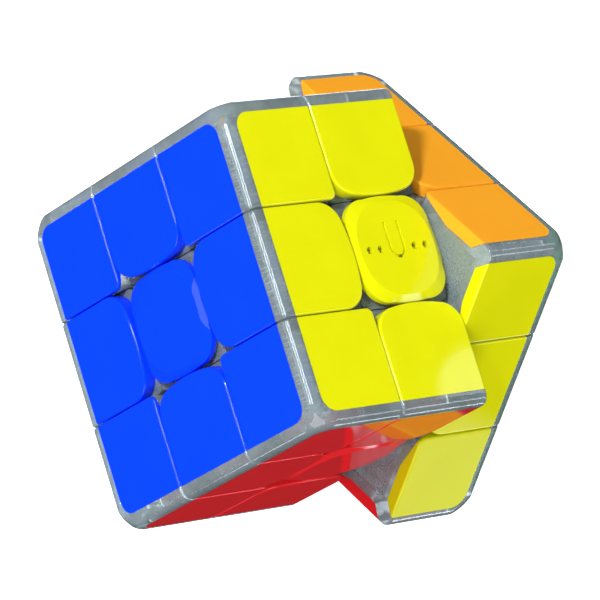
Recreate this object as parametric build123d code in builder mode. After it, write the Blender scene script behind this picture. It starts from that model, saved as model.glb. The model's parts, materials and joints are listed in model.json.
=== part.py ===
from build123d import *
import os

# A 3 x 3 x 3 twisty puzzle cube: clear cubie bodies with coloured snap-in caps, round a ball core
# that holds the electronics and the six sprung centre screws.
#
# Frame: +Z up, origin on the table under the cube's centre. The blue face is +Z, green -Z,
# orange +X, white +Y, red -X and yellow -Y. The green layer stands part-turned about +Z.
# Each kind of piece is modelled once about the cube's centre, at the +Z face, and then placed
# by turning it about that centre.

os.makedirs("parts", exist_ok=True)

# Cube and layers
CUBE = 56.0
HALF = CUBE / 2
LAYER_PLANE = CUBE / 6  # the planes between the layers, from the cube's centre
LAYER_GAP = 0.1  # each piece stands back this far from those planes
INNER = LAYER_PLANE + LAYER_GAP  # where corner and edge pieces start
SLAB = LAYER_PLANE - LAYER_GAP  # half the width of edge and centre pieces
BOTTOM_TURN = -53.4  # degrees about +Z

# Feet, which reach under the neighbouring pieces inside a spherical shell
FOOT_PLANE = 6.0
FOOT_INNER = FOOT_PLANE + LAYER_GAP
FOOT_SLAB = FOOT_PLANE - LAYER_GAP
SHELL = 20.0  # the sphere between the feet and the pieces that hold them
SHELL_GAP = 0.2
FOOT_BASE = 15.5  # the feet ride just clear of the core
NECK_INNER = INNER + 0.45  # the necks stay inside the bodies' rounded inner edges

# Clear bodies
RIM_RADIUS = 1.8  # rounding along the cube's edges
VERTEX_REACH = 46.2  # from the cube's centre to a vertex's rounded tip
VERTEX_BALL = 7.0  # the tip is part of a ball this size
VERTEX_BLEND = 2.2  # which is rounded into the faces and rims
SEAM_RADIUS = 1.0  # rounding between two faces that meet other pieces
SEAM_EDGE = 0.45  # rounding where those faces meet the cube's outside
WALL = 1.5
CAVITY_INNER = INNER + WALL
CAVITY_FLOOR = SHELL + SHELL_GAP + WALL  # a sphere about the cube's centre

# Coloured caps
CAP_REACH = 25.6  # a face's coloured area ends here, with a clear rim outside it
CAP_CORNER = 2.7
CAP_DEPTH = 2.3
CAP_MITRE = 2.3  # the caps' rim sides slope in by this much over their depth
CAP_BOTTOM_CORNER = CAP_CORNER - CAP_MITRE
CAP_EDGE = 0.4  # rounding along the top
CAP_GAP = 0.05  # between a cap and its pocket
CAP_BASE = HALF - CAP_DEPTH
SEAT = CAP_BASE - CAP_GAP  # the pockets' floor, from the cube's centre
CAVITY_TOP = SEAT - WALL
CORNER_CAP_ROUND = 1.2  # a corner cap's inner corner
CORNER_CAP_THIN = 0.4  # its thickness at that corner, from where its underside slopes down
CORNER_CAP_SLOPE = 0.27
EDGE_CAP_TURN = 14.2  # an edge cap's straight sides end here
EDGE_CAP_FLAT = 5.5  # half the width of its bowed inner end
EDGE_CAP_BOW = 0.47

# Hollow plugs under the caps snap into windows in the pockets' floors
PLUG_WALL = 1.0
PLUG_DEPTH = 2.0
PLUG_CORNER = 1.2
PLUG_GAP = 0.1
CORNER_PLUG = (7.0, 7.0)
CORNER_PLUG_AT = (17.0, 17.0)
EDGE_PLUG = (7.0, 10.0)
EDGE_PLUG_AT = (16.6, 0)

# Centre caps: a soft square, chamfered to a rounder top face. Each outline is given by where its
# corner arc starts along a side, and its distance out there, at the mid-side and on the diagonal.
CENTRE_SIDE = (3.9, 8.95, SLAB, 7.6)
CENTRE_TOP = (2.4, 7.95, 8.1, 6.05)
CENTRE_CAP_THICK = 1.6
CENTRE_CAP_CHAMFER = 0.6
CENTRE_CAP_BASE = HALF - CENTRE_CAP_THICK
PEDESTAL_TOP = CENTRE_CAP_BASE - CAP_GAP
PEDESTAL_INSET = 0.4
PEDESTAL_WALL = 1.2
PEDESTAL_INSIDE = PEDESTAL_INSET + PEDESTAL_WALL
TAB_WALL = 0.9
TAB_DEPTH = 1.6
TAB_SPLIT = 6.0  # the gap between the four snap tabs

# Centre screws, washers and springs, along +Z from the cube's centre
SCREW_SEAT = 17.5  # the floor of a centre piece's counterbore
TUBE_RADIUS = 4.9
COUNTERBORE_RADIUS = 3.4
CLEARANCE_RADIUS = 1.6
WASHER_BASE = 21.6
WASHER_THICK = 0.4
WASHER_RADIUS = 3.2
WASHER_HOLE = 1.4
HEAD_BASE = WASHER_BASE + WASHER_THICK
HEAD_RADIUS = 2.4
HEAD_HEIGHT = 1.7
HEAD_ROUND = 0.6
SHANK_RADIUS = 1.25
SHANK_TIP = 9.8
RECESS_SPAN = 2.8
RECESS_WIDTH = 0.6
RECESS_DEPTH = 1.0
WIRE_RADIUS = 0.35
COIL_RADIUS = 2.6
COIL_PITCH = 1.1
COIL_CLEAR = 0.05
COIL_BASE = SCREW_SEAT + COIL_CLEAR + WIRE_RADIUS
COIL_TOP = WASHER_BASE - COIL_CLEAR - WIRE_RADIUS

# Core
CORE_RADIUS = 15.2
CORE_INSIDE = 13.5
BOSS_RADIUS = 3.0
BOSS_TIP = 9.5
BOSS_BASE = 14.3
BOSS_HOLE = 1.3
LID_PLANE = 4.0
LID_GAP = 0.05
LIP_RADIUS = 13.3
LIP_HEIGHT = 1.2

# Electronics
BOARD_RADIUS = 11.0
BOARD_BASE = BOSS_RADIUS + 0.05
BOARD_THICK = 1.0
BOARD_HOLE = 0.6
BOARD_HOLE_SPACING = 13.0
CHIP_CHAMFER = 0.15
CHIPS = [  # x, y, length, width, height
    (-2.5, 1.5, 6.0, 6.0, 0.9),
    (4.6, 3.0, 3.2, 2.5, 0.8),
    (4.4, -3.2, 4.0, 4.0, 1.2),
    (-5.6, -4.6, 2.0, 1.2, 0.7),
    (-1.2, -5.6, 3.0, 3.0, 1.0),
]
BATTERY = (13.0, 11.0, 5.0)
BATTERY_BASE = BOARD_BASE - 0.1 - BATTERY[2]
BATTERY_ROUND = 1.0
CONTACT_Y = (-6.1, -3.7, 3.7, 6.1)
CONTACT_HOLE = 0.65
PAD_RADIUS = 0.45
PAD_TOP = CENTRE_CAP_BASE + 0.7  # the contacts stand inside the cap's holes
STRIP = (5.0, 14.4, 0.6)
STRIP_CORNER = 0.8
STRIP_BASE = SEAT + CAP_GAP

# Release tongue in the yellow centre cap
TONGUE_START = 4.6
TONGUE_SHOULDER = -0.4
TONGUE_TIP = -2.0
TONGUE_ROUND = 1.1
TONGUE_HALF_WIDTH = 1.45
GROOVE_WIDTH = 0.5
GROOVE_DEPTH = 0.4
NAIL_SLOT = (1.1, 0.5)
NAIL_SLOT_AT = (-1.45, -0.35)
NAIL_SLOT_TURN = -70

SIDES = ["orange", "white", "red", "yellow"]  # +X, +Y, -X, -Y: in order round +Z
LOW_CORNER = (Align.MIN, Align.MIN, Align.MIN)

# Where the pieces on the +Z face go for the other faces of a corner or edge piece
TO_X_FACE = Plane.YZ.location
TO_Y_FACE = Plane.ZX.location
EDGE_TO_X_FACE = Plane(origin=(0, 0, 0), x_dir=(0, 0, 1), z_dir=(1, 0, 0)).location
NO_TURN = Location()


def block(low, high, mode=Mode.ADD):
    """A box between two opposite corners."""
    with Locations(low):
        Box(high[0] - low[0], high[1] - low[1], high[2] - low[2], align=LOW_CORNER, mode=mode)


def slope_plane(lowered):
    """The plane of a corner cap's sloping underside, for the cap or lowered for its pocket."""
    origin = (INNER, INNER, HALF - CORNER_CAP_THIN - lowered)
    return Plane(origin=origin, z_dir=(CORNER_CAP_SLOPE, CORNER_CAP_SLOPE, 1))


def face_dish(grow):
    """The +Z face's whole coloured area with its mitred rim, grown by a clearance."""
    top_side = 2 * (CAP_REACH + grow)
    bottom_side = top_side - 2 * CAP_MITRE
    with BuildPart() as dish:
        with BuildSketch(Plane.XY.offset(HALF)):
            RectangleRounded(top_side, top_side, CAP_CORNER)
        with BuildSketch(Plane.XY.offset(CAP_BASE - grow)):
            RectangleRounded(bottom_side, bottom_side, CAP_BOTTOM_CORNER)
        loft(ruled=True)
    return dish.part


def edge_cap_outline():
    """An edge cap's outline: straight sides, then round into a bowed inner end."""
    bow_end = INNER + EDGE_CAP_BOW
    with BuildSketch() as outline:
        with BuildLine():
            Polyline((EDGE_CAP_TURN, -SLAB), (HALF, -SLAB), (HALF, SLAB), (EDGE_CAP_TURN, SLAB))
            TangentArc((EDGE_CAP_TURN, SLAB), (bow_end, EDGE_CAP_FLAT), tangent=(-1, 0))
            ThreePointArc((bow_end, EDGE_CAP_FLAT), (INNER, 0), (bow_end, -EDGE_CAP_FLAT))
            TangentArc((EDGE_CAP_TURN, -SLAB), (bow_end, -EDGE_CAP_FLAT), tangent=(-1, 0))
        make_face()
    return outline.sketch


def soft_square(shape, inset=0):
    """A square with bowed sides and large round corners, pulled in by an inset."""
    corner = shape[0]
    side, middle, diagonal = [distance - inset for distance in shape[1:]]
    with BuildSketch() as square:
        with BuildLine():
            TangentArc((middle, 0), (side, corner), tangent=(0, 1))
            ThreePointArc((side, corner), (diagonal, diagonal), (corner, side))
            TangentArc((0, middle), (corner, side), tangent=(1, 0))
            mirror(about=Plane.YZ)
            mirror(about=Plane.XZ)
        make_face()
    return square.sketch


def at_outer_seam(edge):
    """Whether an edge of a corner or edge body lies between its outside and a neighbour's side."""
    across, along, up = [abs(distance) for distance in edge.center()]
    outside = max(across, along, up) > HALF - RIM_RADIUS
    beside_centre = min(across, up) < INNER + SEAM_RADIUS
    beside_corner = SLAB - SEAM_RADIUS < along < INNER + SEAM_RADIUS
    return outside and (beside_centre or beside_corner)


def plug_ring(size):
    """The section of the hollow snap plug under a corner or edge cap."""
    with BuildSketch() as ring:
        RectangleRounded(size[0], size[1], PLUG_CORNER)
        offset(amount=-PLUG_WALL, mode=Mode.SUBTRACT)
    return ring.sketch


def write_group(label, pieces):
    """Place pieces, each given as a shape and a location, and write them as one sub-part."""
    with BuildPart() as group:
        for shape, location in pieces:
            with Locations(location):
                add(shape)
    group.part.label = label
    export_step(group.part, f"parts/{label}.step")


# ---------------------------------------------------------------- coloured caps on the +Z face
cap_dish = face_dish(0)
corner_plug = plug_ring(CORNER_PLUG)
edge_plug = plug_ring(EDGE_PLUG)

with BuildPart() as corner_cap:
    with BuildSketch(Plane.XY.offset(CAP_BASE)) as outline:
        with Locations((INNER, INNER)):
            Rectangle(HALF - INNER, HALF - INNER, align=(Align.MIN, Align.MIN))
        fillet(outline.vertices().sort_by_distance((0, 0, 0))[0], CORNER_CAP_ROUND)
    extrude(amount=CAP_DEPTH)
    add(cap_dish, mode=Mode.INTERSECT)
    split(bisect_by=slope_plane(0), keep=Keep.TOP)
    top_edges = corner_cap.faces().sort_by(Axis.Z)[-1].edges()
    fillet(top_edges.sort_by_distance((INNER, INNER, HALF))[:3], CAP_EDGE)
    with BuildSketch(Plane.XY.offset(CAP_BASE)):
        with Locations(CORNER_PLUG_AT):
            add(corner_plug)
    extrude(amount=-PLUG_DEPTH)

with BuildPart() as edge_cap:
    with BuildSketch(Plane.XY.offset(CAP_BASE)):
        add(edge_cap_outline())
    extrude(amount=CAP_DEPTH)
    add(cap_dish, mode=Mode.INTERSECT)
    top_edges = edge_cap.faces().sort_by(Axis.Z)[-1].edges()
    fillet(top_edges.sort_by(Axis.X)[:-1], CAP_EDGE)
    with BuildSketch(Plane.XY.offset(CAP_BASE)):
        with Locations(EDGE_PLUG_AT):
            add(edge_plug)
    extrude(amount=-PLUG_DEPTH)

with BuildPart() as centre_cap:
    with BuildSketch(Plane.XY.offset(HALF - CENTRE_CAP_CHAMFER)):
        add(soft_square(CENTRE_SIDE))
    with BuildSketch(Plane.XY.offset(HALF)):
        add(soft_square(CENTRE_TOP))
    loft()
    with BuildSketch(Plane.XY.offset(CENTRE_CAP_BASE)):
        add(soft_square(CENTRE_SIDE))
    extrude(amount=CENTRE_CAP_THICK - CENTRE_CAP_CHAMFER)
    with BuildSketch(Plane.XY.offset(CENTRE_CAP_BASE)):
        add(soft_square(CENTRE_SIDE, PEDESTAL_INSIDE + PLUG_GAP))
        add(soft_square(CENTRE_SIDE, PEDESTAL_INSIDE + PLUG_GAP + TAB_WALL), mode=Mode.SUBTRACT)
        Rectangle(TAB_SPLIT, CUBE, mode=Mode.SUBTRACT)
        Rectangle(CUBE, TAB_SPLIT, mode=Mode.SUBTRACT)
    extrude(amount=-TAB_DEPTH)

# The yellow centre cap has four contact holes and a grooved tongue with a slot for a fingernail
with BuildPart() as yellow_centre_cap:
    add(centre_cap.part)
    with Locations([(0, y, HALF) for y in CONTACT_Y]):
        Hole(CONTACT_HOLE, depth=CENTRE_CAP_THICK)
    with BuildSketch(Plane.XY.offset(HALF)):
        with BuildLine() as groove:
            Polyline(
                (TONGUE_START, TONGUE_HALF_WIDTH),
                (TONGUE_SHOULDER, TONGUE_HALF_WIDTH),
                (TONGUE_TIP, 0),
                (TONGUE_SHOULDER, -TONGUE_HALF_WIDTH),
                (TONGUE_START, -TONGUE_HALF_WIDTH),
            )
            fillet(groove.vertices().sort_by(Axis.X)[:3], TONGUE_ROUND)
        trace(line_width=GROOVE_WIDTH)
    extrude(amount=-GROOVE_DEPTH, mode=Mode.SUBTRACT)
    with BuildSketch(Plane.XY.offset(HALF)):
        with Locations(Location((*NAIL_SLOT_AT, 0), (0, 0, NAIL_SLOT_TURN))):
            SlotOverall(*NAIL_SLOT)
    extrude(amount=-CENTRE_CAP_THICK, mode=Mode.SUBTRACT)

# ---------------------------------------------------------------- clear bodies
pocket_dish = face_dish(CAP_GAP)

with BuildPart() as corner_pocket:
    add(pocket_dish)
    split(bisect_by=slope_plane(CAP_GAP), keep=Keep.TOP)
    with BuildSketch(Plane.XY.offset(CAP_BASE)):
        with Locations(CORNER_PLUG_AT):
            RectangleRounded(CORNER_PLUG[0] + 2 * PLUG_GAP, CORNER_PLUG[1] + 2 * PLUG_GAP, PLUG_CORNER)
    extrude(amount=CAVITY_TOP - CAP_BASE - CAP_GAP)

with BuildPart() as edge_pocket:
    add(pocket_dish)
    with BuildSketch(Plane.XY.offset(CAP_BASE)):
        with Locations(EDGE_PLUG_AT):
            RectangleRounded(EDGE_PLUG[0] + 2 * PLUG_GAP, EDGE_PLUG[1] + 2 * PLUG_GAP, PLUG_CORNER)
    extrude(amount=CAVITY_TOP - CAP_BASE - CAP_GAP)

with BuildPart() as corner_cavity:
    block((CAVITY_INNER, CAVITY_INNER, CAVITY_INNER), (CAVITY_TOP, CAVITY_TOP, CAVITY_TOP))
    Sphere(CAVITY_FLOOR, mode=Mode.SUBTRACT)

with BuildPart() as edge_cavity:
    block((CAVITY_INNER, WALL - SLAB, CAVITY_INNER), (CAVITY_TOP, SLAB - WALL, CAVITY_TOP))
    Sphere(CAVITY_FLOOR, mode=Mode.SUBTRACT)

with BuildPart() as corner_foot:
    block((FOOT_INNER, FOOT_INNER, FOOT_INNER), (SHELL, SHELL, SHELL))
    Sphere(SHELL - SHELL_GAP, mode=Mode.INTERSECT)
    block((NECK_INNER, NECK_INNER, NECK_INNER), (SHELL, SHELL, SHELL))
    Sphere(SHELL + 2 * SHELL_GAP, mode=Mode.INTERSECT)
    Sphere(FOOT_BASE, mode=Mode.SUBTRACT)

with BuildPart() as edge_foot:
    block((FOOT_INNER, -FOOT_SLAB, FOOT_INNER), (SHELL, FOOT_SLAB, SHELL))
    Sphere(SHELL - SHELL_GAP, mode=Mode.INTERSECT)
    block((NECK_INNER, -FOOT_SLAB, NECK_INNER), (SHELL, FOOT_SLAB, SHELL))
    Sphere(SHELL + 2 * SHELL_GAP, mode=Mode.INTERSECT)
    Sphere(FOOT_BASE, mode=Mode.SUBTRACT)

with BuildPart() as vertex_waste:
    ball_centre = ((VERTEX_REACH - VERTEX_BALL) / 3**0.5,) * 3
    block(ball_centre, (HALF, HALF, HALF))
    with Locations(ball_centre):
        Sphere(VERTEX_BALL, mode=Mode.SUBTRACT)

with BuildPart() as corner_body:
    block((INNER, INNER, INNER), (HALF, HALF, HALF))
    fillet(corner_body.edges().sort_by_distance((INNER, INNER, INNER))[:3], SEAM_RADIUS)
    fillet(corner_body.edges().sort_by_distance((HALF, HALF, HALF))[:3], RIM_RADIUS)
    fillet(corner_body.edges().filter_by(at_outer_seam), SEAM_EDGE)
    add(vertex_waste.part, mode=Mode.SUBTRACT)
    fillet(corner_body.faces().sort_by_distance((HALF, HALF, HALF))[0].edges(), VERTEX_BLEND)
    Sphere(SHELL + SHELL_GAP, mode=Mode.SUBTRACT)
    add(corner_cavity.part, mode=Mode.SUBTRACT)
    with Locations(NO_TURN, TO_X_FACE, TO_Y_FACE):
        add(corner_pocket.part, mode=Mode.SUBTRACT)
    add(corner_foot.part)

with BuildPart() as edge_body:
    block((INNER, -SLAB, INNER), (HALF, SLAB, HALF))
    fillet(edge_body.edges().filter_by(Axis.Z).sort_by(Axis.X)[:2], SEAM_RADIUS)
    fillet(edge_body.edges().filter_by(Axis.X).sort_by(Axis.Z)[:2], SEAM_RADIUS)
    fillet(edge_body.edges().filter_by(Axis.Y).sort_by_distance((HALF, 0, HALF))[0], RIM_RADIUS)
    fillet(edge_body.edges().filter_by(at_outer_seam), SEAM_EDGE)
    Sphere(SHELL + SHELL_GAP, mode=Mode.SUBTRACT)
    add(edge_cavity.part, mode=Mode.SUBTRACT)
    with Locations(NO_TURN, EDGE_TO_X_FACE):
        add(edge_pocket.part, mode=Mode.SUBTRACT)
    add(edge_foot.part)

with BuildPart() as centre_cavity:
    with BuildSketch(Plane.XY.offset(PEDESTAL_TOP)):
        add(soft_square(CENTRE_SIDE, PEDESTAL_INSIDE))
    extrude(amount=-HALF)
    Sphere(CAVITY_FLOOR, mode=Mode.SUBTRACT)

with BuildPart() as centre_body:
    block((-SLAB, -SLAB, FOOT_PLANE), (SLAB, SLAB, SEAT))
    fillet(centre_body.edges().filter_by(Axis.Z), SEAM_RADIUS)
    Sphere(SHELL + SHELL_GAP, mode=Mode.SUBTRACT)
    with BuildSketch(Plane.XY.offset(SEAT)):
        add(soft_square(CENTRE_SIDE, PEDESTAL_INSET))
    extrude(amount=PEDESTAL_TOP - SEAT)
    add(centre_cavity.part, mode=Mode.SUBTRACT)
    with BuildSketch(Plane.XY.offset(SHELL)):
        Circle(TUBE_RADIUS)
    extrude(amount=SEAT - SHELL)
    block((-FOOT_SLAB, -FOOT_SLAB, FOOT_PLANE), (FOOT_SLAB, FOOT_SLAB, SHELL + SHELL_GAP))
    Sphere(FOOT_BASE, mode=Mode.SUBTRACT)
    with Locations((0, 0, SEAT)):
        CounterBoreHole(CLEARANCE_RADIUS, COUNTERBORE_RADIUS, SEAT - SCREW_SEAT, depth=SEAT)

# ---------------------------------------------------------------- centre screws, washers, springs
with BuildPart() as tension_screw:
    with BuildSketch(Plane.XZ):
        with BuildLine():
            Polyline(
                (0, SHANK_TIP),
                (SHANK_RADIUS / 2, SHANK_TIP),
                (SHANK_RADIUS, SHANK_TIP + SHANK_RADIUS),
                (SHANK_RADIUS, HEAD_BASE),
                (HEAD_RADIUS, HEAD_BASE),
                (HEAD_RADIUS, HEAD_BASE + HEAD_HEIGHT),
                (0, HEAD_BASE + HEAD_HEIGHT),
                close=True,
            )
        make_face()
    revolve(axis=Axis.Z)
    fillet(tension_screw.faces().sort_by(Axis.Z)[-1].edges(), HEAD_ROUND)
    with BuildSketch(Plane.XY.offset(HEAD_BASE + HEAD_HEIGHT)):
        Rectangle(RECESS_SPAN, RECESS_WIDTH)
        Rectangle(RECESS_WIDTH, RECESS_SPAN)
    extrude(amount=-RECESS_DEPTH, mode=Mode.SUBTRACT)

with BuildPart() as spring_washer:
    with BuildSketch(Plane.XY.offset(WASHER_BASE)):
        Circle(WASHER_RADIUS)
        Circle(WASHER_HOLE, mode=Mode.SUBTRACT)
    extrude(amount=WASHER_THICK)

with BuildPart() as centre_spring:
    with BuildLine() as coil:
        Helix(COIL_PITCH, COIL_TOP - COIL_BASE, COIL_RADIUS, center=(0, 0, COIL_BASE))
    with BuildSketch(coil.line ^ 0):
        Circle(WIRE_RADIUS)
    sweep(is_frenet=True)

# ---------------------------------------------------------------- ball core
X_AXES = [Plane.YZ, Plane(origin=(0, 0, 0), x_dir=(0, 1, 0), z_dir=(-1, 0, 0))]
Y_AXES = [Plane.ZX, Plane(origin=(0, 0, 0), x_dir=(0, 0, 1), z_dir=(0, -1, 0))]
Z_AXES = [Plane.XY, Plane(origin=(0, 0, 0), x_dir=(1, 0, 0), z_dir=(0, 0, -1))]
SIX_AXES = [plane.location for plane in X_AXES + Y_AXES + Z_AXES]

with BuildPart() as boss:
    with BuildSketch(Plane.XY.offset(BOSS_TIP)):
        Circle(BOSS_RADIUS)
    extrude(amount=BOSS_BASE - BOSS_TIP)

with BuildPart() as boss_hole:
    with BuildSketch(Plane.XY.offset(BOSS_TIP)):
        Circle(BOSS_HOLE)
    extrude(amount=CORE_RADIUS)

with BuildPart() as core_ball:
    Sphere(CORE_RADIUS)
    Sphere(CORE_INSIDE, mode=Mode.SUBTRACT)
    with Locations(*SIX_AXES):
        add(boss.part)
    with Locations(*SIX_AXES):
        add(boss_hole.part, mode=Mode.SUBTRACT)

with BuildPart() as core_lip:
    with BuildSketch(Plane.XY.offset(LID_PLANE)):
        Circle(LIP_RADIUS)
    extrude(amount=LIP_HEIGHT)
    add(core_ball.part, mode=Mode.INTERSECT)

with BuildPart() as core_lower_shell:
    add(core_ball.part)
    split(bisect_by=Plane.XY.offset(LID_PLANE), keep=Keep.BOTTOM)
    add(core_lip.part)

with BuildPart() as core_upper_shell:
    add(core_ball.part)
    split(bisect_by=Plane.XY.offset(LID_PLANE + LID_GAP), keep=Keep.TOP)
    with BuildSketch(Plane.XY.offset(LID_PLANE)):
        Circle(LIP_RADIUS + LID_GAP)
    extrude(amount=LIP_HEIGHT + LID_GAP, mode=Mode.SUBTRACT)

# ---------------------------------------------------------------- electronics
with BuildPart() as main_board:
    with BuildSketch(Plane.XY.offset(BOARD_BASE)):
        Circle(BOARD_RADIUS)
        with GridLocations(BOARD_HOLE_SPACING, BOARD_HOLE_SPACING, 2, 2):
            Circle(BOARD_HOLE, mode=Mode.SUBTRACT)
    extrude(amount=BOARD_THICK)

with BuildPart() as board_chips:
    for x, y, length, width, height in CHIPS:
        with Locations((x, y, BOARD_BASE + BOARD_THICK)):
            Box(length, width, height, align=(Align.CENTER, Align.CENTER, Align.MIN))
    chamfer(board_chips.edges().filter_by(Axis.Z), CHIP_CHAMFER)

with BuildPart() as battery:
    with Locations((0, 0, BATTERY_BASE)):
        Box(*BATTERY, align=(Align.CENTER, Align.CENTER, Align.MIN))
    fillet(battery.edges(), BATTERY_ROUND)

with BuildPart() as contact_strip:
    with BuildSketch(Plane.XY.offset(STRIP_BASE)):
        RectangleRounded(STRIP[0], STRIP[1], STRIP_CORNER)
    extrude(amount=STRIP[2])

with BuildPart() as contact_pads:
    with BuildSketch(Plane.XY.offset(STRIP_BASE + STRIP[2])):
        with Locations([(0, y) for y in CONTACT_Y]):
            Circle(PAD_RADIUS)
    extrude(amount=PAD_TOP - STRIP_BASE - STRIP[2])

# ---------------------------------------------------------------- placing and writing the pieces
CENTRE = Location((0, 0, HALF))
QUARTERS = [Rotation(0, 0, 90 * quarter) for quarter in range(4)]
TOP_PLACES = [CENTRE * turn for turn in QUARTERS]
BOTTOM_PLACES = [CENTRE * Rotation(0, 0, BOTTOM_TURN) * turn * Rotation(180, 0, 0) for turn in QUARTERS]
UPRIGHT_PLACES = [CENTRE * turn * Rotation(90, 0, 0) for turn in QUARTERS]
AXIS_PLACES = [CENTRE * axis for axis in SIX_AXES]


def write_outer_layer(layer, colour, places, step):
    """Write the top or bottom layer; each corner also lies on the side that is a step away."""
    for side, place in enumerate(places):
        beside = SIDES[(side + step) % 4]
        write_group(f"corner_{colour}_{SIDES[side]}_{beside}", [(corner_body.part, place)])
        write_group(f"edge_{colour}_{SIDES[side]}", [(edge_body.part, place)])
        side_caps = [
            (corner_cap.part, place * TO_X_FACE),
            (edge_cap.part, place * EDGE_TO_X_FACE),
            (corner_cap.part, places[(side - step) % 4] * TO_Y_FACE),
        ]
        write_group(f"{layer}_{SIDES[side]}_caps", side_caps)
    write_group(f"centre_{colour}", [(centre_body.part, places[0])])
    write_group(f"{colour}_corner_caps", [(corner_cap.part, place) for place in places])
    write_group(f"{colour}_edge_caps", [(edge_cap.part, place) for place in places])
    write_group(f"{colour}_centre_cap", [(centre_cap.part, places[0])])


def write_middle_layer():
    """Write the four upright edges and the four side centres, with their caps."""
    for side, place in enumerate(UPRIGHT_PLACES):
        face = TOP_PLACES[side] * TO_X_FACE
        cap = yellow_centre_cap if SIDES[side] == "yellow" else centre_cap
        write_group(f"edge_{SIDES[side - 1]}_{SIDES[side]}", [(edge_body.part, place)])
        write_group(f"centre_{SIDES[side]}", [(centre_body.part, face)])
        write_group(f"{SIDES[side]}_centre_cap", [(cap.part, face)])
        side_caps = [
            (edge_cap.part, place * EDGE_TO_X_FACE),
            (edge_cap.part, UPRIGHT_PLACES[(side + 1) % 4]),
        ]
        write_group(f"middle_{SIDES[side]}_caps", side_caps)


write_outer_layer("top", "blue", TOP_PLACES, 1)
write_outer_layer("bottom", "green", BOTTOM_PLACES, -1)
write_middle_layer()

yellow_face = TOP_PLACES[SIDES.index("yellow")] * TO_X_FACE
write_group("contact_strip", [(contact_strip.part, yellow_face)])
write_group("contact_pads", [(contact_pads.part, yellow_face)])
write_group("tension_screws", [(tension_screw.part, place) for place in AXIS_PLACES])
write_group("spring_washers", [(spring_washer.part, place) for place in AXIS_PLACES])
write_group("centre_springs", [(centre_spring.part, place) for place in AXIS_PLACES])
write_group("core_lower_shell", [(core_lower_shell.part, CENTRE)])
write_group("core_upper_shell", [(core_upper_shell.part, CENTRE)])
write_group("main_board", [(main_board.part, CENTRE)])
write_group("board_chips", [(board_chips.part, CENTRE)])
write_group("battery", [(battery.part, CENTRE)])
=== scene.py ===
import json
import math

import bpy
from mathutils import Matrix, Vector


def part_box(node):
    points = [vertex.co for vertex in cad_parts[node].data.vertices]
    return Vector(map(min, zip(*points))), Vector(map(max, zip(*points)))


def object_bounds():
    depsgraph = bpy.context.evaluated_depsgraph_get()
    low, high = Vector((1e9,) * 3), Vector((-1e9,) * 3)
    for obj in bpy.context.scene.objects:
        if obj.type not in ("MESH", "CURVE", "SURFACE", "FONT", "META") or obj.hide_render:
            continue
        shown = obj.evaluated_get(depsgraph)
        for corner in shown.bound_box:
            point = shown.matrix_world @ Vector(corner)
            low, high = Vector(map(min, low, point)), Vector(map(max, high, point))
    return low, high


# A 3 x 3 x 3 twisty puzzle cube: clear smoke-grey pieces with glossy coloured caps.
# Frame: metres, +Z up, origin on the table under the cube's centre. The blue face is +Z,
# yellow -Y, orange +X, red -X, white +Y and green -Z, with the green layer part-turned.

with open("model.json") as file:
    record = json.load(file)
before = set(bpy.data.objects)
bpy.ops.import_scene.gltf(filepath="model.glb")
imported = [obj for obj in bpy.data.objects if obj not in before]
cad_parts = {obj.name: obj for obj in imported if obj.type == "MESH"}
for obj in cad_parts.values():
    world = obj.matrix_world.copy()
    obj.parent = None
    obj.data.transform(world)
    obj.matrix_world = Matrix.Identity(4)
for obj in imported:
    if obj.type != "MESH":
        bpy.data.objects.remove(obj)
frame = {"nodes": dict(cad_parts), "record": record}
cad_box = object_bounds()

MM = 0.001
LOW, HIGH = cad_box
CENTRE = Vector((0, 0, (LOW.z + HIGH.z) / 2))
TURN = math.radians(-53.4)  # of the green layer, about +Z

# Camera: where it stands round the cube, how it is rolled, and how it is framed
CAMERA_AZIMUTH = math.radians(-105.30)
CAMERA_ELEVATION = math.radians(40.475)
CAMERA_ROLL = math.radians(-97.2)
CAMERA_DISTANCE = 0.7773
CAMERA_LENS = 278.06
AIM_RIGHT = 0.48 * MM
AIM_UP = 0.93 * MM


# ---------------------------------------------------------------- nodes

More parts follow.
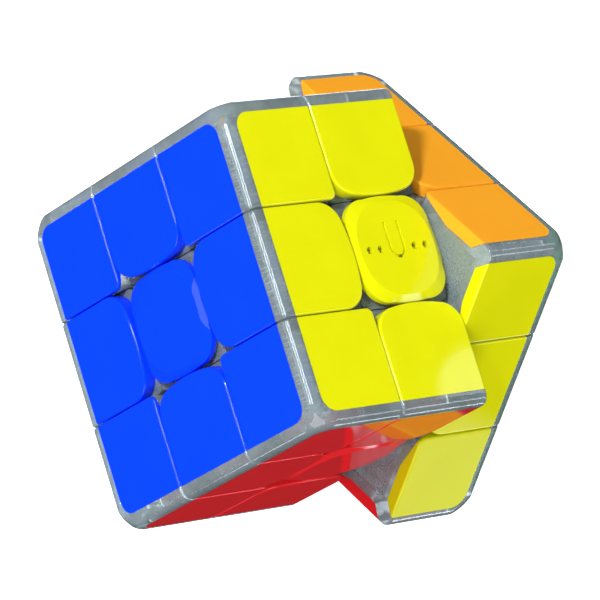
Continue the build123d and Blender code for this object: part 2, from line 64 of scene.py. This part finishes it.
class Nodes:
    """A material's or world's node tree, with short calls for the nodes used here."""

    def __init__(self, owner):
        owner.use_nodes = True
        self.tree = owner.node_tree
        self.tree.nodes.clear()

    def add(self, kind, **settings):
        node = self.tree.nodes.new(kind)
        for name, value in settings.items():
            setattr(node, name, value)
        return node

    def link(self, source, target):
        self.tree.links.new(source, target)

    def feed(self, socket, value):
        """Link another node's output to the socket, or set it to a number, vector or colour."""
        if isinstance(value, bpy.types.NodeSocket):
            self.link(value, socket)
        elif isinstance(value, tuple):
            socket.default_value = (*value, 1)
        else:
            socket.default_value = value

    def coordinates(self):
        """Place in the piece's own frame, so that patterns ride with it."""
        return self.add("ShaderNodeTexCoord").outputs["Object"]

    def noise(self, size, detail=2.0, roughness=0.5):
        """Noise from 0 to 1 with features of the given size in metres."""
        node = self.add("ShaderNodeTexNoise")
        node.inputs["Scale"].default_value = 1 / size
        node.inputs["Detail"].default_value = detail
        node.inputs["Roughness"].default_value = roughness
        self.link(self.coordinates(), node.inputs["Vector"])
        return node.outputs["Fac"]

    def ranged(self, value, low, high, start=0.0, end=1.0):
        """The value's span from low to high spread over start to end."""
        node = self.add("ShaderNodeMapRange")
        self.link(value, node.inputs["Value"])
        for name, number in zip(("From Min", "From Max", "To Min", "To Max"),
                                (low, high, start, end)):
            self.feed(node.inputs[name], number)
        return node.outputs["Result"]

    def ramp(self, value, *stops):
        """A colour ramp with (position, colour) stops."""
        node = self.add("ShaderNodeValToRGB")
        self.link(value, node.inputs["Fac"])
        elements = node.color_ramp.elements
        while len(elements) < len(stops):
            elements.new(0.5)
        for element, (position, colour) in zip(elements, stops):
            element.position = position
            element.color = (*colour, 1)
        return node.outputs["Color"]

    def bump(self, height, distance, strength=1.0, normal=None):
        """A bump of the given height in metres; it can be laid over another one's normal."""
        node = self.add("ShaderNodeBump")
        node.inputs["Distance"].default_value = distance
        self.feed(node.inputs["Strength"], strength)
        self.link(height, node.inputs["Height"])
        if normal:
            self.link(normal, node.inputs["Normal"])
        return node.outputs["Normal"]

    def surface(self, **values):
        """The Principled shader; a value is a number, a colour or another node's output."""
        shader = self.add("ShaderNodeBsdfPrincipled")
        for name, value in values.items():
            self.feed(shader.inputs[name.replace("_", " ")], value)
        out = self.add("ShaderNodeOutputMaterial")
        self.link(shader.outputs["BSDF"], out.inputs["Surface"])
        return shader


def scaled(colour, factor):
    return tuple(min(1.0, channel * factor) for channel in colour)


# ---------------------------------------------------------------- materials

def cap_plastic(name, colour):
    """Glossy coloured moulding: slight flow streaks in the colour, and orange peel in the gloss."""
    material = bpy.data.materials.new(name)
    nodes = Nodes(material)
    flow = nodes.noise(9 * MM, detail=3)
    base = nodes.ramp(flow, (0.3, scaled(colour, 0.97)), (0.7, scaled(colour, 1.02)))
    rough = nodes.ranged(nodes.noise(2.5 * MM, detail=4), 0.35, 0.7, 0.01, 0.04)
    peel = nodes.bump(nodes.noise(1.2 * MM, detail=1), 0.0002 * MM)
    nodes.surface(Base_Color=base, Roughness=rough, Normal=peel, IOR=1.5,
                  Specular_IOR_Level=0.3)
    return material


def clear_plastic(name, turn):
    """Clear smoke-grey moulding: polished near the outer faces, spark-eroded grain further in.

    The turn is the angle of the piece's layer at rest, so that the outer faces are found square.
    """
    material = bpy.data.materials.new(name)
    nodes = Nodes(material)
    square = nodes.add("ShaderNodeMapping")
    square.inputs["Location"].default_value = -CENTRE
    square.inputs["Rotation"].default_value = (0, 0, -turn)
    nodes.link(nodes.coordinates(), square.inputs["Vector"])
    size = nodes.add("ShaderNodeVectorMath", operation="ABSOLUTE")
    nodes.link(square.outputs["Vector"], size.inputs[0])
    sides = nodes.add("ShaderNodeSeparateXYZ")
    nodes.link(size.outputs["Vector"], sides.inputs["Vector"])
    reach = sides.outputs["X"]
    for side in "YZ":
        larger = nodes.add("ShaderNodeMath", operation="MAXIMUM")
        nodes.link(reach, larger.inputs[0])
        nodes.link(sides.outputs[side], larger.inputs[1])
        reach = larger.outputs["Value"]
    inner = nodes.ranged(reach, 24.2 * MM, 25.4 * MM, 1, 0)
    flow = nodes.noise(1.6 * MM, detail=5, roughness=0.75)
    base = nodes.ramp(flow, (0.3, (0.48, 0.60, 0.65)), (0.7, (0.72, 0.82, 0.86)))
    grain = nodes.noise(0.35 * MM, detail=4, roughness=0.7)
    rough = nodes.ranged(inner, 0, 1, 0.03, nodes.ranged(grain, 0.35, 0.65, 0.08, 0.35))
    peel = nodes.bump(nodes.noise(3 * MM, detail=1), 0.0004 * MM)
    eroded = nodes.bump(grain, 0.006 * MM, inner, peel)
    nodes.surface(Base_Color=base, Roughness=rough, Normal=eroded, IOR=1.49,
                  Transmission_Weight=0.75)
    return material


def core_plastic(name):
    """Satin grey moulding with a fine spark-eroded grain."""
    material = bpy.data.materials.new(name)
    nodes = Nodes(material)
    base = nodes.ramp(nodes.noise(4 * MM), (0.3, (0.50, 0.51, 0.52)), (0.7, (0.58, 0.59, 0.60)))
    grain = nodes.noise(0.25 * MM, detail=3)
    rough = nodes.ranged(grain, 0.3, 0.7, 0.4, 0.55)
    nodes.surface(Base_Color=base, Roughness=rough, Normal=nodes.bump(grain, 0.01 * MM))
    return material


def steel(name):
    """Bright zinc plate with fine drawn scratches."""
    material = bpy.data.materials.new(name)
    nodes = Nodes(material)
    base = nodes.ramp(nodes.noise(1.5 * MM), (0.3, (0.56, 0.56, 0.58)), (0.7, (0.68, 0.68, 0.69)))
    scratch = nodes.noise(0.2 * MM, detail=4)
    rough = nodes.ranged(scratch, 0.3, 0.7, 0.2, 0.36)
    nodes.surface(Base_Color=base, Metallic=1.0, Roughness=rough,
                  Normal=nodes.bump(scratch, 0.004 * MM))
    return material


def plain_grain(name, dark, light, rough_low, rough_high, size, metallic=0.0):
    """A small inner part: its colour drifts, and its surface has a grain of the given size."""
    material = bpy.data.materials.new(name)
    nodes = Nodes(material)
    grain = nodes.noise(size, detail=4)
    base = nodes.ramp(nodes.noise(size * 6), (0.3, dark), (0.7, light))
    rough = nodes.ranged(grain, 0.3, 0.7, rough_low, rough_high)
    nodes.surface(Base_Color=base, Roughness=rough, Metallic=metallic,
                  Normal=nodes.bump(grain, size * 0.03))
    return material


finishes = {
    "clear_plastic": clear_plastic("clear_smoke", 0),
    "blue_plastic": cap_plastic("blue_gloss", (0.0025, 0.049, 1.0)),
    "green_plastic": cap_plastic("green_gloss", (0.0, 0.45, 0.12)),
    "yellow_plastic": cap_plastic("yellow_gloss", (0.76, 0.76, 0.004)),
    "white_plastic": cap_plastic("white_gloss", (0.84, 0.85, 0.86)),
    "orange_plastic": cap_plastic("orange_gloss", (1.0, 0.40, 0.022)),
    "red_plastic": cap_plastic("red_gloss", (0.84, 0.02, 0.026)),
    "core_plastic": core_plastic("core_grey"),
    "steel": steel("zinc_plate"),
    "circuit_board": plain_grain("solder_mask", (0.008, 0.075, 0.03), (0.012, 0.11, 0.04),
                                 0.3, 0.45, 0.3 * MM),
    "chip_plastic": plain_grain("epoxy_black", (0.016, 0.016, 0.018), (0.025, 0.025, 0.027),
                                0.45, 0.6, 0.1 * MM),
    "battery_wrap": plain_grain("foil_wrap", (0.22, 0.24, 0.27), (0.29, 0.31, 0.34),
                                0.3, 0.45, 0.6 * MM),
    "contact_metal": plain_grain("nickel_plate", (0.62, 0.64, 0.68), (0.74, 0.76, 0.8),
                                 0.3, 0.45, 0.15 * MM, metallic=1.0),
}
turned_clear = clear_plastic("clear_smoke_turned", TURN)
slot_of = {row["node"]: row["material_slot"] for row in frame["record"]["subparts"]}
for node_name, node in frame["nodes"].items():
    for material_slot in node.material_slots:
        material_slot.material = finishes[slot_of[node_name]]
        if slot_of[node_name] == "clear_plastic" and "green" in node_name:
            material_slot.material = turned_clear


# ---------------------------------------------------------------- camera, floor and light

camera_data = bpy.data.cameras.new("camera")
camera_data.lens = CAMERA_LENS
camera_data.sensor_width = 36
camera = bpy.data.objects.new("camera", camera_data)
bpy.context.scene.collection.objects.link(camera)
back = Vector((math.cos(CAMERA_AZIMUTH) * math.cos(CAMERA_ELEVATION),
               math.sin(CAMERA_AZIMUTH) * math.cos(CAMERA_ELEVATION),
               math.sin(CAMERA_ELEVATION)))
turn = back.to_track_quat("Z", "Y").to_matrix() @ Matrix.Rotation(CAMERA_ROLL, 3, "Z")
camera_place = CENTRE + back * CAMERA_DISTANCE + turn @ Vector((AIM_RIGHT, AIM_UP, 0))
camera.matrix_world = Matrix.Translation(camera_place) @ turn.to_4x4()
bpy.context.scene.camera = camera
bpy.context.scene.view_settings.view_transform = "Standard"


def add_mesh(name, corners, faces):
    mesh = bpy.data.meshes.new(name)
    mesh.from_pydata(corners, [], faces)
    piece = bpy.data.objects.new(name, mesh)
    bpy.context.scene.collection.objects.link(piece)
    return piece


FLOOR_HALF = 4.0
floor = add_mesh("floor", [(-FLOOR_HALF, -FLOOR_HALF, 0), (FLOOR_HALF, -FLOOR_HALF, 0),
                           (FLOOR_HALF, FLOOR_HALF, 0), (-FLOOR_HALF, FLOOR_HALF, 0)],
                 [(0, 1, 2, 3)])
floor_material = bpy.data.materials.new("pale_floor")
floor_nodes = Nodes(floor_material)
floor_nodes.surface(Base_Color=(0.9, 0.9, 0.9), Roughness=0.9, Specular_IOR_Level=0.0,
                    Emission_Color=(1.0, 1.0, 1.0), Emission_Strength=0.75)
floor.data.materials.append(floor_material)
floor.visible_diffuse = False
floor.visible_glossy = False
floor.visible_transmission = False


def softbox(name, direction, distance, width, height, power):
    """A rectangular light that faces the cube from the given direction."""
    data = bpy.data.lights.new(name, "AREA")
    data.shape = "RECTANGLE"
    data.size = width
    data.size_y = height
    data.energy = power
    lamp = bpy.data.objects.new(name, data)
    outward = Vector(direction).normalized()
    lamp.location = CENTRE + outward * distance
    lamp.rotation_mode = "QUATERNION"
    lamp.rotation_quaternion = outward.to_track_quat("Z", "Y")
    bpy.context.scene.collection.objects.link(lamp)
    return lamp


softbox("key", (0.30, -0.56, 0.77), 1.4, 0.14, 0.14, 17.5)
softbox("fill", (-0.85, -0.30, 0.43), 1.5, 1.0, 1.0, 12)
back_light = softbox("back", (0.50, 0.85, 0.20), 1.5, 1.0, 1.0, 12)
back_light.visible_glossy = False  # so that it leaves no glint on the centre caps' chamfers

# The world is soft ambient light for matt surfaces, white behind the clear plastic, and dark
# with a few round cards for gloss, so that the coloured caps stay clean and the rims carry
# thin highlights. A card is its direction, its radius and soft border in degrees, its strength.
YELLOW_SIDE = Vector((0, -1, 0))
PALE_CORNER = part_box("middle_yellow_caps")[0] + Vector((1.0, 0, 1.8)) * MM


def mirrored(spot, normal):
    """The direction that the camera sees in a mirror at the spot, facing along the normal."""
    return (spot - camera_place).reflect(normal).normalized()


CARDS = (
    ((0.20, -0.77, 0.60), 4, 1, 24),  # the pair of lines along the blue and yellow rim
    ((0.20, -0.50, 0.84), 4, 1, 24),
    ((-0.50, -0.57, -0.66), 4, 2, 6),  # yellow and red rim
    ((-0.73, 0.21, -0.66), 3, 2, 8),
    ((0.54, 0.52, -0.66), 4, 2, 6),  # yellow and orange rim
    ((-0.65, 0.73, 0.25), 2.5, 1, 9),  # blue and red rim
    ((0.20, -0.09, 0.975), 9, 0.5, 3.0),  # the blue centre cap's chamfer
    ((0.11, -0.64, -0.76), 6.9, 0.15, 4.5),  # the yellow centre cap's lower chamfer
    (mirrored(PALE_CORNER, YELLOW_SIDE), 0.42, 0.07, 3.4),  # that corner of the lower yellow cap
    ((-0.775, 0.17, -0.61), 8, 0.3, 1.3),  # the part-turned yellow face
)
world = bpy.data.worlds.new("studio")
bpy.context.scene.world = world
sky = Nodes(world)
towards = sky.add("ShaderNodeTexCoord").outputs["Generated"]
rays = sky.add("ShaderNodeLightPath")
height = sky.add("ShaderNodeSeparateXYZ")
sky.link(towards, height.inputs["Vector"])


def card(direction, radius, border, strength):
    """One round card's strength in the direction looked at."""
    facing = sky.add("ShaderNodeVectorMath", operation="DOT_PRODUCT")
    sky.link(towards, facing.inputs[0])
    facing.inputs[1].default_value = Vector(direction).normalized()
    return sky.ranged(facing.outputs["Value"], math.cos(math.radians(radius + border)),
                      math.cos(math.radians(radius)), 0, strength)


def glow(strength, colour):
    """Light from the sky of the given strength and colour."""
    node = sky.add("ShaderNodeBackground")
    node.inputs["Color"].default_value = (*colour, 1)
    sky.link(strength, node.inputs["Strength"])
    return node.outputs["Background"]


def chosen(ray, otherwise, then):
    """One light for rays of the named kind, and another for the rest."""
    node = sky.add("ShaderNodeMixShader")
    sky.link(rays.outputs[ray], node.inputs["Fac"])
    sky.link(otherwise, node.inputs[1])
    sky.link(then, node.inputs[2])
    return node.outputs["Shader"]


gloss = sky.ranged(height.outputs["Z"], -0.1, 0.3, 0.02, 0.04)
for panel in CARDS:
    both = sky.add("ShaderNodeMath", operation="ADD")
    sky.link(gloss, both.inputs[0])
    sky.link(card(*panel), both.inputs[1])
    gloss = both.outputs["Value"]
ambient = glow(sky.ranged(height.outputs["Z"], -0.3, 0.3, 0.5, 0.55), (0.96, 0.99, 1.0))
behind = glow(sky.ranged(height.outputs["Z"], -0.3, 0.3, 1.8, 2.2), (0.96, 0.99, 1.0))
lit = chosen("Is Glossy Ray", ambient, glow(gloss, (0.82, 0.94, 1.0)))
sky.link(chosen("Is Transmission Ray", lit, behind),
         sky.add("ShaderNodeOutputWorld").inputs["Surface"])
